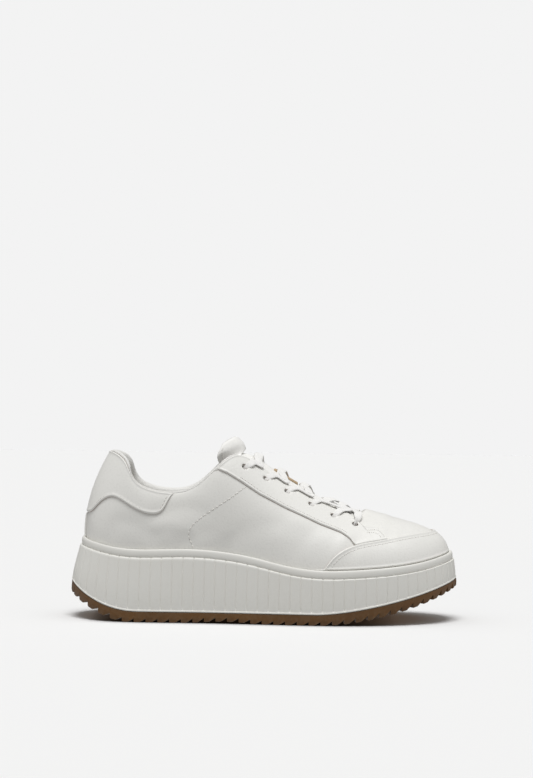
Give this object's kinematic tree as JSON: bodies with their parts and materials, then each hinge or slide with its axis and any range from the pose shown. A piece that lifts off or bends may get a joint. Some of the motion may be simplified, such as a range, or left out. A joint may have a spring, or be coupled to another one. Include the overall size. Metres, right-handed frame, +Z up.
{
  "type": "platform sneaker",
  "caption": "White leather lace-up sneaker on a ribbed platform sole with a gum tread, toe cap, heel counter and padded collar.",
  "frame": {"origin": "on the floor under the middle of the shoe's length and width", "axes": "+X towards the toe, +Y towards the inner side of the right foot, +Z up"},
  "size_m": [0.2741, 0.1033, 0.1305],
  "materials": {
    "leather": "smooth white leather, semi-matt",
    "lining": "soft white lining leather, matt",
    "footbed": "off-white padded insole cover",
    "sole_white": "off-white moulded foam rubber",
    "gum": "brown gum rubber, matt",
    "lace": "flat woven cotton",
    "label": "tan patch, blank"
  },
  "bodies": {
    "root": {"outsole": "gum", "midsole": "sole_white", "insole": "footbed", "upper": "leather", "toe_cap": "leather", "heel_counter": "leather", "back_strip": "leather", "facing_outer": "leather", "facing_inner": "leather", "collar_pad": "lining", "tongue": "leather", "lace_bar": "lace", "lace_cross_1": "lace", "lace_cross_2": "lace", "lace_cross_3": "lace", "lace_cross_4": "lace", "lace_cross_5": "lace"}
  },
  "joints": []
}
